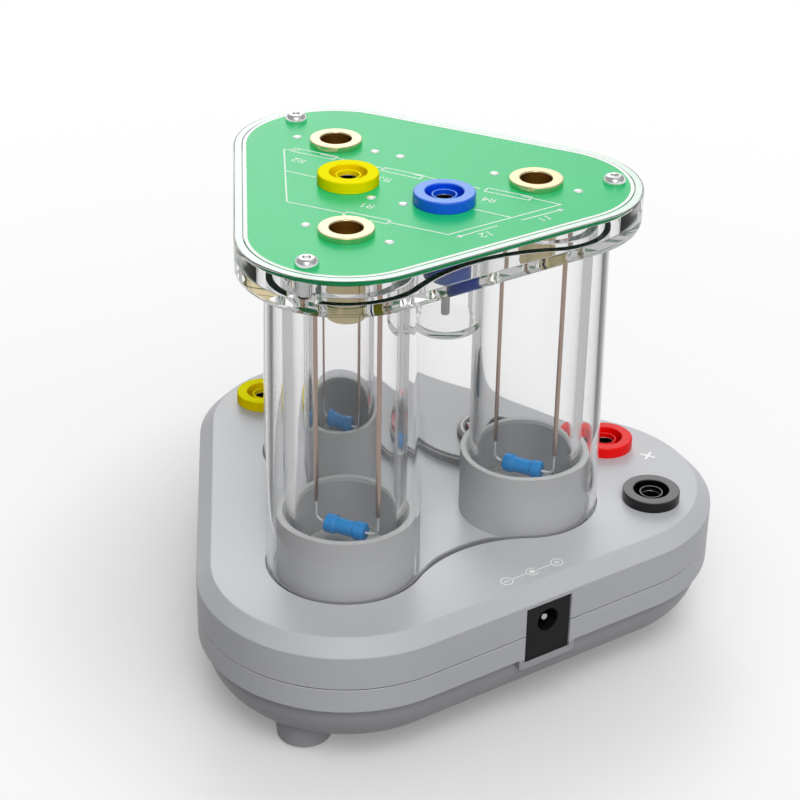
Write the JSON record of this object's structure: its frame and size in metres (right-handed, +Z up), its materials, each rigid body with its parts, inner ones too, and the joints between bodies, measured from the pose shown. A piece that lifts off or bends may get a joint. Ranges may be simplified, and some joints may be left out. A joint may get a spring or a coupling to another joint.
{
  "type": "resistor heating demonstration apparatus",
  "caption": "Tabletop heating apparatus: grey triangular base, clear lobed tower with resistor chambers, green board on top with ports and lab sockets.",
  "frame": {"origin": "under the middle of the case's outline, in the plane of the foot pads", "axes": "+Z up, -Y towards the side with the power inlet, +X towards the corner with the red and black sockets"},
  "size_m": [0.1284, 0.12, 0.1148],
  "materials": {
    "case_grey": "light grey fine-textured moulded plastic",
    "foot_rubber": "black rubber",
    "clear_plastic": "polished clear plastic",
    "board_green": "green solder mask",
    "brass": "turned brass",
    "copper": "drawn copper",
    "resistor_blue": "blue resistor lacquer",
    "tinned_metal": "tinned and nickel-plated metal",
    "steel": "stainless steel",
    "yellow_plastic": "yellow plastic",
    "blue_plastic": "blue plastic",
    "red_plastic": "red plastic",
    "black_plastic": "black plastic"
  },
  "bodies": {
    "apparatus": {"base_black_sleeve": "tinned_metal", "base_black_socket": "black_plastic", "base_lower_shell": "case_grey", "base_red_sleeve": "tinned_metal", "base_red_socket": "red_plastic", "base_upper_shell": "case_grey", "base_yellow_sleeve": "tinned_metal", "base_yellow_socket": "yellow_plastic", "board_blue_sleeve": "tinned_metal", "board_blue_socket": "blue_plastic", "board_screws": "steel", "board_yellow_sleeve": "tinned_metal", "board_yellow_socket": "yellow_plastic", "cap_tray": "clear_plastic", "case_screws": "steel", "circuit_board": "board_green", "cup_back": "case_grey", "cup_front_left": "case_grey", "cup_right": "case_grey", "foot_pad_back": "foot_rubber", "foot_pad_front_left": "foot_rubber", "foot_pad_right": "foot_rubber", "inner_tube_back": "clear_plastic", "inner_tube_front_left": "clear_plastic", "inner_tube_right": "clear_plastic", "jack_body": "black_plastic", "jack_pin": "tinned_metal", "leads_back": "tinned_metal", "leads_front_left": "tinned_metal", "leads_right": "tinned_metal", "outer_shell": "clear_plastic", "port_bushing_back": "brass", "port_bushing_front_left": "brass", "port_bushing_right": "brass", "port_nuts": "brass", "power_board": "board_green", "resistor_back": "resistor_blue", "resistor_front_left": "resistor_blue", "resistor_right": "resistor_blue", "rod_back_far": "copper", "rod_back_near": "copper", "rod_front_left_far": "copper", "rod_front_left_near": "copper", "rod_right_far": "copper", "rod_right_near": "copper", "shell_seal": "black_plastic", "socket_nuts": "tinned_metal", "switch_bezel": "black_plastic", "switch_pivot": "steel", "switch_terminals": "tinned_metal"},
    "rocker": {"switch_rocker": "red_plastic"}
  },
  "joints": [
    {"name": "rocker_tilt", "type": "hinge", "parent": "apparatus", "child": "rocker", "pos_m": [0.0276, 0.002, 0.0347], "axis": [0.5, -0.866, 0], "range_deg": [0, 20]}
  ]
}
